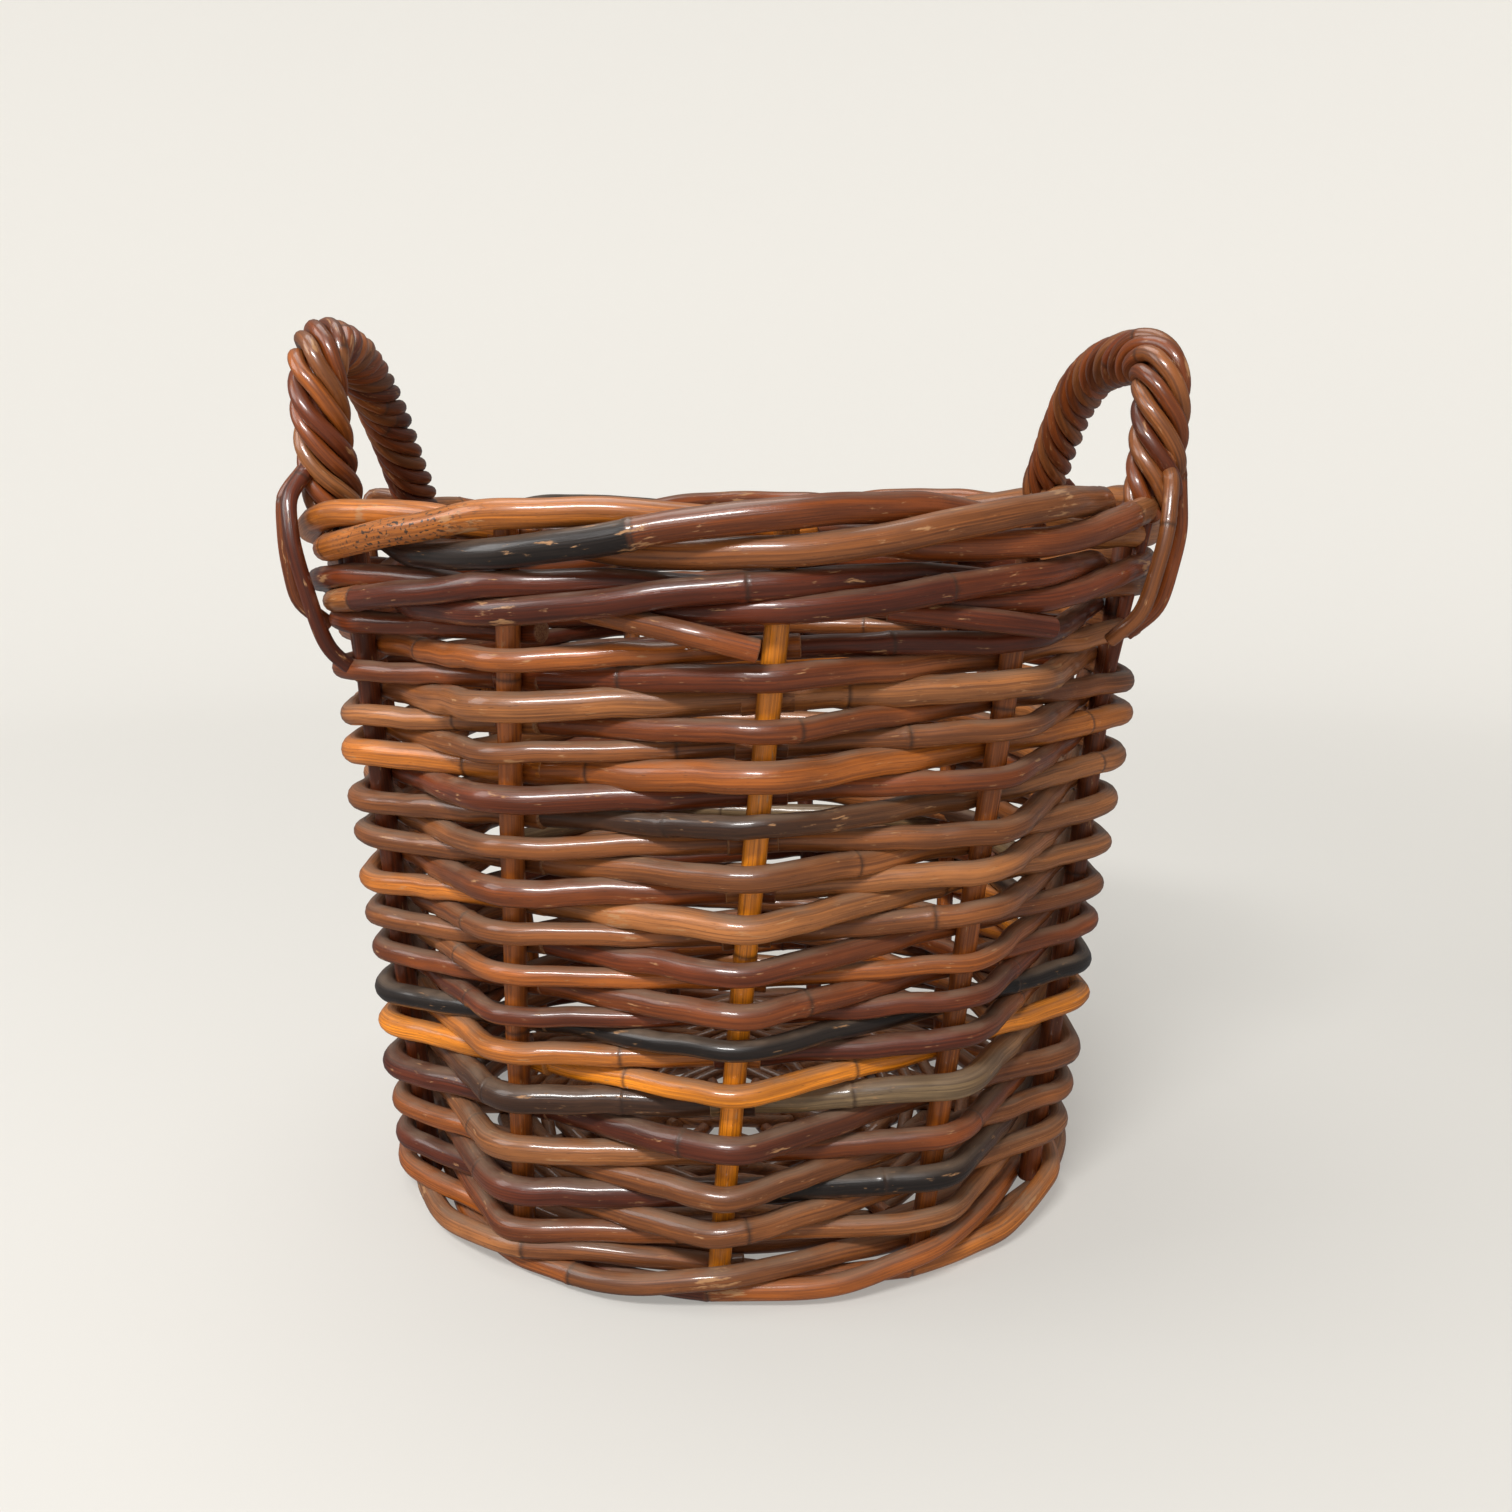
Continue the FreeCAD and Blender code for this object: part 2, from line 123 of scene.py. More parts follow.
def fit_rows():
    """Height of the weaving at a step: a steady rise and a tilt to the right that grows with height.
    The four numbers are fitted to the CAD weavers by least squares."""
    equations, heights = [], []
    for turn, name in enumerate(nodes_of("weaver_")):
        points = cad_points(name)
        for index in range(STAKES):
            step = turn * STAKES + index
            height, outside = near_stake(points, index)
            side = outside > 0 if step % 2 == 0 else outside < 0
            level = middle(height[side])
            tilt = math.sin(stake_line(index, level)[1])
            equations.append([1, step, tilt, step * tilt])
            heights.append(level)
    return np.linalg.lstsq(np.array(equations), np.array(heights), rcond=None)[0]


ROW_FIT = fit_rows()


def row_height(step):
    base, rise, tilt, tilt_growth = ROW_FIT
    angle = stake_line(step % STAKES, base + rise * step)[1]
    return base + rise * step + (tilt + tilt_growth * step) * math.sin(angle)


def fit_band(start):
    """Low and high level of a band of waling, its tilt to the right and its rods' radius."""
    points = np.vstack([cad_points(name) for name in nodes_of(start)])
    equations, lows, highs, radii = [], [], [], []
    for index in range(STAKES):
        height, outside = near_stake(points, index)
        behind = height[outside < 0]
        radii.append((behind.max() - behind.min()) / 2)
        lows.append(height[outside > 0].min() + radii[-1])
        highs.append(height[outside > 0].max() - radii[-1])
        equations.append([1, math.sin(stake_line(index, lows[-1])[1])])
    low = np.linalg.lstsq(np.array(equations), np.array(lows), rcond=None)[0]
    high = np.linalg.lstsq(np.array(equations), np.array(highs), rcond=None)[0]
    return low[0], high[0], (low[1] + high[1]) / 2, float(np.median(radii))


# ---------------------------------------------------------------------------------------------------
# Colours of the canes, named as one would sort the rods
# ---------------------------------------------------------------------------------------------------

TONES = {
    "yellow": (208, 124, 20),
    "amber": (178, 104, 34),
    "speckled": (190, 108, 30),
    "orange": (152, 82, 26),
    "tan": (150, 94, 50),
    "brown": (124, 72, 34),
    "russet": (118, 58, 20),
    "red": (102, 45, 15),
    "maroon": (84, 35, 16),
    "umber": (66, 42, 28),
    "black": (34, 27, 24),
    "grey": (116, 96, 70),
}
COMMON = ["brown"] * 5 + ["russet"] * 5 + ["tan"] * 3 + ["red"] * 4 + ["orange"] * 3 + ["maroon"] * 2
COMMON += ["umber", "amber", "grey"]


def linear(rgb):
    """A display colour from 0 to 255 as scene-linear light."""
    values = np.array(rgb, float) / 255
    return np.where(values <= 0.04045, values / 12.92, ((values + 0.055) / 1.055) ** 2.4)


PALETTE = {name: linear(rgb) for name, rgb in TONES.items()}


# ---------------------------------------------------------------------------------------------------
# Lines
# ---------------------------------------------------------------------------------------------------


def divided(corners, splits):
    """The corners with evenly spaced points added on the runs between them."""
    share = np.arange(splits)[None, :, None] / splits
    runs = corners[:-1, None] * (1 - share) + corners[1:, None] * share
    return np.vstack([runs.reshape(-1, 3), corners[-1:]])


def spline_through(targets, splits=4, fineness=8):
    """A smooth line through the targets, nearly straight between them: a cubic B-spline whose control
    points divide each run. Returns its points and each point's place, counted in targets."""
    targets = np.asarray(targets, float)
    corners = targets.copy()
    settling_passes = 8
    for _ in range(settling_passes):
        control = divided(corners, splits)
        control = np.vstack([2 * control[0] - control[1], control, 2 * control[-1] - control[-2]])
        on_line = (control[:-2] + 4 * control[1:-1] + control[2:]) / 6
        corners += targets - on_line[::splits]
    control = np.vstack([2 * control[0] - control[1], control, 2 * control[-1] - control[-2]])
    t = np.arange(fineness)[None, :, None] / fineness
    before, here, after, later = (control[i : len(control) - 3 + i, None] for i in range(4))
    spans = (1 - t) ** 3 * before + (3 * t**3 - 6 * t**2 + 4) * here
    spans = (spans + (-3 * t**3 + 3 * t**2 + 3 * t + 1) * after + t**3 * later) / 6
    line = spans.reshape(-1, 3)[fineness : -fineness + 1]
    return line, np.arange(len(line)) / (splits * fineness)


def sway(length, size, wave, seed):
    """A slow random offset along a line, made of three sines."""
    draw = random.Random(seed)
    result = np.zeros(len(length))
    for share in (1.0, 0.6, 0.35):
        turn = draw.uniform(0, TAU)
        result += share * np.sin(TAU * length / (wave * draw.uniform(0.7, 1.3) * share) + turn)
    return size * result / 2


def lengths_along(line):
    return np.concatenate([[0], np.cumsum(np.linalg.norm(np.diff(line, axis=0), axis=1))])


# ---------------------------------------------------------------------------------------------------
# Canes: round rods gathered into one mesh, with what their material reads stored at each point.
# "cane" is a place in the rod (across, across, along), "tone" its colour, and "marks" holds how much
# of a node's ring, of a scuff, of a cut end and of black specks there is.
# ---------------------------------------------------------------------------------------------------


class Canes:
    def __init__(self, sides=16):
        self.sides = sides
        self.points, self.faces = [], []
        self.cane, self.tone, self.marks = [], [], []
        self.count = 0

    def add(self, line, radius, tones, nodes=(), scuffs=(), specks=(), ends=("cut", "cut"), swell=0.07):
        """One rod. radius is a number or (length, radius) pairs, tones are (length share, colour) pairs,
        nodes are lengths from the start, scuffs and specks are (length, half width) pairs, and an end is
        cut or slanted."""
        seed = dice.random()
        along = lengths_along(line)
        total = along[-1]
        lengths, radii = zip(*radius) if isinstance(radius, list) else ((0,), (radius,))
        stations = self.stations(total, radii[0], nodes)
        radius = np.interp(stations, lengths, radii)
        spine = np.stack([np.interp(stations, along, line[:, axis]) for axis in range(3)], axis=1)
        across, upward, forward = self.frames(spine)
        thick = radius * (1 + sway(stations, 0.025, 0.09, seed))
        ring_mark = np.zeros(len(stations))
        swell_width, groove_place, groove_width = 2.4 * MM, 0.9 * MM, 0.7 * MM
        for place in nodes:
            away = stations - place
            thick += radius * swell * np.exp(-((away / swell_width) ** 2))
            thick -= radius * 0.05 * np.exp(-(((away - groove_place) / groove_width) ** 2))
            ring_mark += np.exp(-(((away - groove_place) / groove_place) ** 2))
        worn, specked = (self.patches(stations, places) for places in (scuffs, specks))
        colour = self.colours(stations, total, tones, nodes, seed)
        turns = np.arange(self.sides) * TAU / self.sides
        start_turn = TAU * seed
        oval = 1 + 0.03 * np.cos(2 * (turns + start_turn))
        spread = thick[:, None] * oval[None, :]
        shell = spine[:, None] + spread[..., None] * (
            across[:, None] * np.cos(turns)[None, :, None] + upward[:, None] * np.sin(turns)[None, :, None]
        )
        offset = 10 * seed
        inner = np.stack([spread * np.cos(turns), spread * np.sin(turns), 0 * spread], axis=-1)
        inner[..., 2] = stations[:, None] + offset
        marks = np.zeros((*shell.shape[:2], 4))
        for part, amount in ((0, ring_mark), (1, worn), (3, specked)):
            marks[..., part] = amount[:, None]
        self.shell(shell, inner, np.broadcast_to(colour[:, None], shell.shape), marks)
        for end, at, way in ((ends[0], 0, -1), (ends[1], -1, 1)):
            lean = 0.9 if end == "slanted" else 0.0
            self.cap(shell[at], spine[at], forward[at] * way, inner[at], colour[at], lean, way)

    @staticmethod
    def patches(stations, places):
        """1 where a station lies in one of the (length, half width) places, fading at their edges."""
        amount = np.zeros(len(stations))
        for place, half_width in places:
            amount += np.exp(-(((stations - place) / half_width) ** 4))
        return amount

    @staticmethod
    def stations(total, radius, nodes):
        """Lengths at which the rod has a ring of points: evenly spaced, and closer at its nodes."""
        count = max(3, round(total / max(2.6 * MM, 0.35 * radius)))
        places = [np.linspace(0, total, count + 1)]
        near = np.array([-4, -2.6, -1.4, -0.5, 0.2, 0.9, 1.6, 2.6, 4]) * MM
        for place in nodes:
            keep = (np.abs(places[0] - place) > 4.6 * MM) | (places[0] == 0) | (places[0] == total)
            places[0] = places[0][keep]
            extra = place + near
            places.append(extra[(extra > 1 * MM) & (extra < total - 1 * MM)])
        return np.unique(np.concatenate(places))

    @staticmethod
    def frames(spine):
        """Two directions across the rod and one along it, carried from ring to ring without twist."""
        forward = np.gradient(spine, axis=0)
        forward /= np.linalg.norm(forward, axis=1)[:, None]
        across = np.empty_like(forward)
        guide = UP if abs(forward[0][2]) < 0.9 else np.array([1.0, 0, 0])
        side = np.cross(forward[0], guide)
        for i, way in enumerate(forward):
            side = side - way * side.dot(way)
            side = side / math.sqrt(side.dot(side))
            across[i] = side
        return across, np.cross(across, forward), forward

    @staticmethod
    def colours(stations, total, tones, nodes, seed):
        shares = [share * total for share, _ in tones]
        values = np.array([colour for _, colour in tones])
        colour = np.stack([np.interp(stations, shares, values[:, i]) for i in range(3)], axis=1)
        draw = random.Random(seed)
        for place in nodes:
            beyond = 1 / (1 + np.exp(-(stations - place) / (0.5 * MM)))
            change = draw.uniform(-0.16, 0.16)
            fading = np.exp(-np.maximum(stations - place, 0) / 0.08)
            colour = colour * (1 + change * beyond * fading)[:, None]
        return colour

    def shell(self, shell, inner, colour, marks):
        rings, sides = shell.shape[:2]
        index = self.count + np.arange(rings * sides).reshape(rings, sides)
        after = np.roll(index, -1, axis=1)
        quads = np.stack([index[:-1], after[:-1], after[1:], index[1:]], axis=-1).reshape(-1, 4)
        self.faces.extend(quads.tolist())
        self.keep(shell, inner, colour, marks)

    def cap(self, edge, centre, way, inner, colour, lean, sign):
        """A cut end: a worn edge and a flat of pith that stands on the rod's last ring. With a lean the
        cut is slanted."""
        lift = (edge - centre).dot(way + lean * UP) * lean
        lift = (lift - lift.min())[:, None]
        shares = np.array([1.0, 0.93, 0.6, 0.25])
        rises = np.array([0.0, 0.5, 0.62, 0.6]) * MM
        rings = np.array([centre + (edge - centre) * share + way * (rise + lift * share)
                          for share, rise in zip(shares, rises)])
        marks = np.zeros((*rings.shape[:2], 4))
        marks[1:, :, 2] = 1
        places = np.broadcast_to(inner, rings.shape).copy()
        places[..., :2] *= shares[:, None, None]
        index = self.count + np.arange(len(rings) * self.sides).reshape(len(rings), self.sides)
        self.keep(rings, places, np.broadcast_to(colour, rings.shape), marks)
        after = np.roll(index, -1, axis=1)
        if sign < 0:
            index, after = after, index
        quads = np.stack([index[:-1], after[:-1], after[1:], index[1:]], axis=-1).reshape(-1, 4)
        self.faces.extend(quads.tolist())
        last = index[-1].tolist()
        self.faces.append(last if sign > 0 else last[::-1])

    def keep(self, points, inner, colour, marks):
        self.points.append(points.reshape(-1, 3))
        self.cane.append(inner.reshape(-1, 3))
        self.tone.append(np.asarray(colour).reshape(-1, 3))
        self.marks.append(marks.reshape(-1, 4))
        self.count += points.size // 3

    def piece(self, name, material, slot, *replaced):
        """The finished object, which takes the place of the CAD nodes."""
        points = np.vstack(self.points)
        mesh = bpy.data.meshes.new(name)
        mesh.from_pydata(points.tolist(), [], self.faces)
        mesh.attributes.new("cane", "FLOAT_VECTOR", "POINT").data.foreach_set(
            "vector", np.vstack(self.cane).ravel()
        )
        mesh.attributes.new("marks", "FLOAT_COLOR", "POINT").data.foreach_set(
            "color", np.vstack(self.marks).ravel()
        )
        tone = np.hstack([np.vstack(self.tone), np.ones((len(points), 1))])
        mesh.attributes.new("tone", "FLOAT_COLOR", "POINT").data.foreach_set("color", tone.ravel())
        mesh.shade_smooth()
        mesh.materials.append(material)
        mesh.update()
        thing = bpy.data.objects.new(name, mesh)
        bpy.context.scene.collection.objects.link(thing)
        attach(thing, BODY)
        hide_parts(*replaced)
        return thing


# ---------------------------------------------------------------------------------------------------
# Materials
# ---------------------------------------------------------------------------------------------------


class Nodes:
    """Short names for the shader nodes that the materials use."""

    def __init__(self, name):
        self.material = bpy.data.materials.new(name)
        self.material.use_nodes = True
        self.tree = self.material.node_tree
        self.tree.nodes.clear()

    def make(self, kind, **settings):
        node = self.tree.nodes.new(kind)
        for key, value in settings.items():
            setattr(node, key, value)
        return node

    def plug(self, socket, value):
        if isinstance(value, bpy.types.NodeSocket):
            self.tree.links.new(value, socket)
        else:
            socket.default_value = value

    def math(self, operation, first, second=0.0, clamp=False):
        node = self.make("ShaderNodeMath", operation=operation, use_clamp=clamp)
        self.plug(node.inputs[0], first)
        self.plug(node.inputs[1], second)
        return node.outputs[0]

    def scaled(self, vector, scale):
        node = self.make("ShaderNodeVectorMath", operation="MULTIPLY")
        self.plug(node.inputs[0], vector)
        node.inputs[1].default_value = scale
        return node.outputs[0]

    def noise(self, vector, scale, detail=2.0, roughness=0.5):
        node = self.make("ShaderNodeTexNoise")
        self.plug(node.inputs["Vector"], self.scaled(vector, scale))
        node.inputs["Scale"].default_value = 1.0
        node.inputs["Detail"].default_value = detail
        node.inputs["Roughness"].default_value = roughness
        return node.outputs["Fac"]

    def ramp(self, value, low, high, to_low=0.0, to_high=1.0):
        """The value from low to high, smoothly, as to_low to to_high."""
        node = self.make("ShaderNodeMapRange", interpolation_type="SMOOTHSTEP")
        self.plug(node.inputs["Value"], value)
        for key, number in zip(("From Min", "From Max", "To Min", "To Max"), (low, high, to_low, to_high)):
            node.inputs[key].default_value = number
        return node.outputs["Result"]

    def mix(self, share, first, second, blend="MIX"):
        node = self.make("ShaderNodeMix", data_type="RGBA", blend_type=blend)
        self.plug(node.inputs["Factor"], share)
        self.plug(node.inputs["A"], first if isinstance(first, bpy.types.NodeSocket) else (*first, 1.0))
        self.plug(node.inputs["B"], second if isinstance(second, bpy.types.NodeSocket) else (*second, 1.0))
        return node.outputs["Result"]

    def attribute(self, name, output):
        return self.make("ShaderNodeAttribute", attribute_name=name).outputs[output]

    def split(self, vector):
        node = self.make("ShaderNodeSeparateXYZ")
        self.plug(node.inputs[0], vector)
        return node.outputs


def finish_cane(shade, place, tone, gloss, dust_and_sheen_amount, marks=None, specks=None):
    """Varnished cane: lengthwise fibres, slow drift of colour, pores, scuffs, and on what faces up a grey
    brown that is dust together with a painted sheen.
    """
    fibre = shade.noise(place, (1050, 1050, 15), 5, 0.68)
    strand = shade.noise(place, (430, 430, 7), 3, 0.6)
    drift = shade.noise(place, (60, 60, 16), 3)
    cross = shade.noise(place, (90, 90, 2600), 2)
    pores = shade.ramp(shade.noise(place, (2300, 2300, 260), 2), 0.64, 0.76)
    lighter = shade.mix(1.0, tone, (1.5, 1.46, 1.34), "MULTIPLY")
    darker = shade.mix(1.0, tone, (0.42, 0.36, 0.34), "MULTIPLY")
    colour = shade.mix(shade.ramp(drift, 0.34, 0.68), darker, lighter)
    colour = shade.mix(shade.ramp(drift, 0.2, 0.6, 0.7, 0.25), colour, tone)
    colour = shade.mix(shade.ramp(strand, 0.54, 0.36, 0.0, 0.5), colour, darker)
    colour = shade.mix(shade.ramp(fibre, 0.5, 0.66, 0.0, 0.6), colour, lighter)
    colour = shade.mix(shade.ramp(fibre, 0.5, 0.36, 0.0, 0.66), colour, darker)
    colour = shade.mix(shade.math("MULTIPLY", pores, 0.6), colour, (0.02, 0.010, 0.007))
    bare = shade.noise(place, (430, 430, 85), 5, 0.65)
    scuff = shade.ramp(bare, 0.70, 0.74, 0.0, 0.7)
    if marks is not None:
        ring, worn, cut = shade.split(marks)
        colour = shade.mix(shade.math("MULTIPLY", ring, 0.74, True), colour, (0.030, 0.014, 0.008))
        worn = shade.ramp(shade.math("ADD", shade.math("MULTIPLY", worn, 0.11), bare), 0.62, 0.70, 0.0, 0.8)
        scuff = shade.math("MAXIMUM", scuff, worn)
        dot = shade.ramp(shade.noise(place, (620, 620, 420), 1), 0.58, 0.63)
        colour = shade.mix(shade.math("MULTIPLY", dot, specks, True), colour, (0.035, 0.018, 0.010))
        speck = shade.noise(place, (1600, 1600, 1300), 2)
        pith = shade.mix(shade.ramp(speck, 0.35, 0.62), (0.17, 0.075, 0.03), (0.40, 0.22, 0.11))
        pith = shade.mix(0.45, pith, tone)
    colour = shade.mix(scuff, colour, (0.40, 0.20, 0.080))
    if marks is not None:
        colour = shade.mix(cut, colour, pith)
    # What faces up is mixed towards a grey brown: real dust, and also a painted sheen on the tops of the
    # rods. The same mask makes the surface rougher.
    facing = shade.split(shade.make("ShaderNodeNewGeometry").outputs["Normal"])[2]
    patchy = shade.ramp(shade.noise(place, (130, 130, 60), 3), 0.3, 0.65, 0.35, 1.0)
    dust_and_sheen = shade.math("MULTIPLY", shade.ramp(facing, 0.45, 0.98, 0.0, dust_and_sheen_amount), patchy)
    colour = shade.mix(dust_and_sheen, colour, (0.20, 0.135, 0.090))
    rough = shade.ramp(fibre, 0.3, 0.7, gloss + 0.16, gloss)
    rough = shade.math("ADD", rough, shade.math("MULTIPLY", dust_and_sheen, 0.5))
    rough = shade.math("ADD", rough, shade.math("MULTIPLY", scuff, 0.3), True)
    relief = shade.math("ADD", shade.math("MULTIPLY", fibre, 0.6), shade.math("MULTIPLY", strand, 0.6))
    relief = shade.math("ADD", relief, shade.math("MULTIPLY", cross, 0.12))
    relief = shade.math("SUBTRACT", relief, shade.math("MULTIPLY", scuff, 0.2))
    bump = shade.make("ShaderNodeBump")
    bump.inputs["Strength"].default_value = 0.85
    bump.inputs["Distance"].default_value = 0.34 * MM
    shade.plug(bump.inputs["Height"], relief)
    surface = shade.make("ShaderNodeBsdfPrincipled")
    shade.plug(surface.inputs["Base Color"], colour)
    shade.plug(surface.inputs["Roughness"], rough)
    shade.plug(surface.inputs["Normal"], bump.outputs["Normal"])
    surface.inputs["Coat Weight"].default_value = 0.6
    surface.inputs["Coat Roughness"].default_value = 0.13
    surface.inputs["Specular IOR Level"].default_value = 0.5
    output = shade.make("ShaderNodeOutputMaterial")
    shade.tree.links.new(surface.outputs[0], output.inputs[0])
    return shade.material


def cane_material(name, gloss, dust_and_sheen):
    shade = Nodes(name)
    place = shade.attribute("cane", "Vector")
    tone = shade.attribute("tone", "Color")
    marks = shade.make("ShaderNodeAttribute", attribute_name="marks").outputs
    return finish_cane(shade, place, tone, gloss, dust_and_sheen, marks["Color"], marks["Alpha"])


# ---------------------------------------------------------------------------------------------------
# Stakes
# ---------------------------------------------------------------------------------------------------

STAKE_TONES = ["orange", "yellow", "orange", "russet", "brown", "orange", "red", "brown", "amber", "russet",
               "red"]


def make_stakes(material):
    for index, name in enumerate(nodes_of("stake_")):
        tone = PALETTE[STAKE_TONES[index % len(STAKE_TONES)]]
        heights = np.linspace(FOOT_Z, TOP_Z, 9)
        radius, angle = stake_line(index, heights)
        wander = np.array([0] + [dice.uniform(-0.5, 0.5) * MM for _ in heights[2:]] + [0])
        line, _ = spline_through(polar(radius + wander, angle, heights), 2, 6)
        canes = Canes()
        total = lengths_along(line)[-1]
        nodes = [place for place in (dice.uniform(0.06, 0.16), dice.uniform(0.22, 0.3)) if place < total]
        tones = [(0, tone * 0.85), (1, tone)]
        canes.add(line, STAKE_RADIUS, tones, nodes, ends=("cut", "slanted"), swell=0.04)
        canes.piece(f"{name}_cane", material, "stake_cane", name)


# ---------------------------------------------------------------------------------------------------
# Weavers
# ---------------------------------------------------------------------------------------------------

# The rods in front of the five stakes that face the camera, from the top row down: each one's tone,
# thickness and lift over an even spacing, both in millimetres.
FRONT_ROWS = {
    10: "red 10 1, russet 10 -1, tan 10 -2.5, amber 12 1.5, brown 11 -3, brown 10.5 -0.5, amber 11 -2, "
        "brown 10.5 -1, russet 10 1.5, black 11 0.5, yellow 11.5 3, maroon 12 0.5, orange 10.5 -0.5, "
        "maroon 11 -0.5",
    0: "orange 10 -1, tan 12.5 0, brown 9 1, red 12 1.5, brown 9.5 1, russet 11.5 2, brown 10 3.5, "
       "orange 9 4, red 9 5.5, amber 10 8, umber 12.5 7, tan 12 1, maroon 12.5 0.5, russet 10.5 0",
    1: "red 11 1, russet 9.5 0, orange 13.5 2, umber 10 1.5, brown 11 1, tan 12.5 0.5, red 10.5 0, "
       "russet 11.5 2.5, black 9.5 6.5, yellow 10 6.5, maroon 12 1, brown 11 -1, brown 11 1.5",
    2: "maroon 9.5 -2.5, tan 12.5 -0.5, brown 10 1, russet 9.5 1, brown 10.5 -3, tan 11 2, brown 10.5 3.5, "
       "orange 8 1.5, red 9 5, maroon 10 7, grey 12 6, russet 10.5 2, black 12 3.5, tan 9.5 1.5",
    3: "tan 10 1.5, brown 10 -4, amber 11.5 1, tan 11 0, tan 11 -1, tan 10.5 -1.5, brown 10 -2, "
       "russet 10 0, black 10 2, yellow 10.5 4, brown 11.5 -3, brown 10.5 -2, tan 10.5 -2.5",
}
SEEN_NODES = [254.22, 243.63, 155.83, 78.65, 46.28, 153.84, 109.78, 66.64, 43.8, 233.75, 275.5, 206.4]
SEEN_SCUFFS = [(165.55, 0.009), (210.42, 0.005), (266.3, 0.010), (187.6, 0.003), (222.3, 0.005)]
LAST_STEP = TURNS * STAKES


def front_passes():
    """Tone, radius and lift at every front pass: listed where it is seen, and elsewhere often the tone
    of the pass before, because a rod is longer than two passes."""
    passes = {}
    for index, rows in FRONT_ROWS.items():
        highest = max(step for step in range(0, LAST_STEP + 1, 2) if step % STAKES == index)
        for row, words in enumerate(rows.split(",")):
            tone, thickness, lift = words.split()
            passes[highest - row * 2 * STAKES] = (tone, float(thickness) / 2 * MM, float(lift) * MM)
    same_rod = 0.62
    for step in range(0, LAST_STEP + 2, 2):
        if step not in passes:
            before = passes.get(step - 2, ("brown",))[0]
            tone = before if dice.random() < same_rod else dice.choice(COMMON)
            passes[step] = (tone, dice.uniform(5.0, 6.0) * MM, dice.uniform(-1.5, 1.5) * MM)
    return passes


def weaver_target(step, passes, rough):
    """Where the weaving passes a stake, touching it. Behind a stake it lies between the rods that
    pass in front of the same stake above and below."""
    if step in passes:
        _, radius, lift = passes[step]
        side = 1
    else:
        around = [passes[near] for near in (step - STAKES, step + STAKES) if near in passes]
        lift = sum(each[2] for each in around) / len(around)
        radius = mean_radius(passes, step - 1, step + 1)
        side = -1
    height = row_height(step) + lift + rough.uniform(-0.4, 0.4) * MM
    line_radius, angle = stake_line(step % STAKES, height)
    out = side * (STAKE_RADIUS + radius - 0.3 * MM)
    return polar(line_radius + out, angle + rough.uniform(-0.006, 0.006), height)


def mean_radius(passes, first, last):
    return float(np.mean([passes[step][1] for step in range(first, last + 1) if step in passes]))


def make_weavers(material):
    passes = front_passes()
    rough = random.Random(5)
    targets = {step: weaver_target(step, passes, rough) for step in range(-1, LAST_STEP + 1)}
    joins = [-1]
    for turn in range(1, TURNS + 1):
        joins.append(turn * STAKES if turn % 2 else turn * STAKES + 1)
    for turn, name in enumerate(nodes_of("weaver_")):
        canes = Canes()
        first, last = joins[turn], min(joins[turn + 1], LAST_STEP)
        changes = [s for s in range(first + 4, last - 3, 2) if passes[s - 1][0] != passes[s + 1][0]]
        cuts = [first] + changes + [last]
        for start, stop in zip(cuts[:-1], cuts[1:]):
            add_weaver(canes, start, stop, targets, passes)
        canes.piece(f"{name}_cane", material, "weaver_cane", name)


def add_weaver(canes, start, stop, targets, passes):
    """One rod of the weaving, whose two ends lie behind stakes, past the rods that they meet."""
    line, place = spline_through([targets[step] for step in range(start, stop + 1)])
    along = lengths_along(line)
    step_at = start + place
    outward = line * [1, 1, 0] / np.linalg.norm(line[:, :2], axis=1)[:, None]
    line = line + outward * sway(along, 0.5 * MM, 0.06, start + 0.5)[:, None]
    line[:, 2] += sway(along, 0.7 * MM, 0.07, stop)
    beyond = 3
    before, after = line[0] + (line[0] - line[1]) * beyond, line[-1] + (line[-1] - line[-2]) * beyond
    line = np.vstack([before, line, after])
    total = along[-1]

    def length_at(step):
        return float(np.interp(step, step_at, along))

    fronts = [step for step in range(start, stop + 1) if step in passes]
    tones = [(length_at(step) / total, PALETTE[passes[step][0]]) for step in fronts]
    radii = [(length_at(step), passes[step][1]) for step in fronts]
    nodes = [length_at(step) for step in SEEN_NODES if start < step < stop]
    place = dice.uniform(0.03, 0.28)
    while place < total - 0.02:
        if all(abs(place - other) > 0.06 for other in nodes):
            nodes.append(place)
        place += dice.uniform(0.16, 0.36)
    scuffs = [(length_at(step), half) for step, half in SEEN_SCUFFS if start < step < stop]
    canes.add(line, radii, tones, nodes, scuffs)


# ---------------------------------------------------------------------------------------------------
# Foot, wale and border: each stroke passes in front of two stakes and has its ends behind two others.
# A stop is (place, distance out from the stakes, height), with places counted in stakes.
# ---------------------------------------------------------------------------------------------------

BORDER_TONES = {9: "tan amber", 10: "speckled amber", 0: "black russet", 1: "brown tan", 2: "russet tan",
                3: "tan tan", 4: "orange orange", 5: "amber russet", 6: "umber black", 7: "orange tan",
                8: "russet brown"}
WALE_TONES = {9: "red red", 10: "tan maroon", 0: "maroon maroon", 1: "maroon red", 2: "red tan",
              3: "brown tan", 4: "russet red", 5: "maroon umber", 6: "red russet", 7: "brown red",
              8: "russet brown"}
FOOT_TONES = {9: "umber orange", 10: "tan brown", 0: "orange brown", 1: "red orange", 2: "orange amber",
              3: "tan orange", 4: "brown tan", 5: "russet brown", 6: "tan orange", 7: "brown umber",
              8: "orange tan"}


def waling_stops(low, high, rod_radius):
    """A stroke that rises from low to high while it passes in front of its two stakes."""
    beside = STAKE_RADIUS + rod_radius
    crossing = -2 * MM
    level = (low + high) / 2
    bulge = 0.6 * MM
    return [(-0.12, -beside + 1 * MM, level), (0.0, -beside, level), (0.5, crossing, low),
            (1.0, beside, low), (1.5, beside + bulge, level), (2.0, beside, high),
            (2.5, crossing, high), (3.0, -beside, level), (3.12, -beside + 1 * MM, level)]


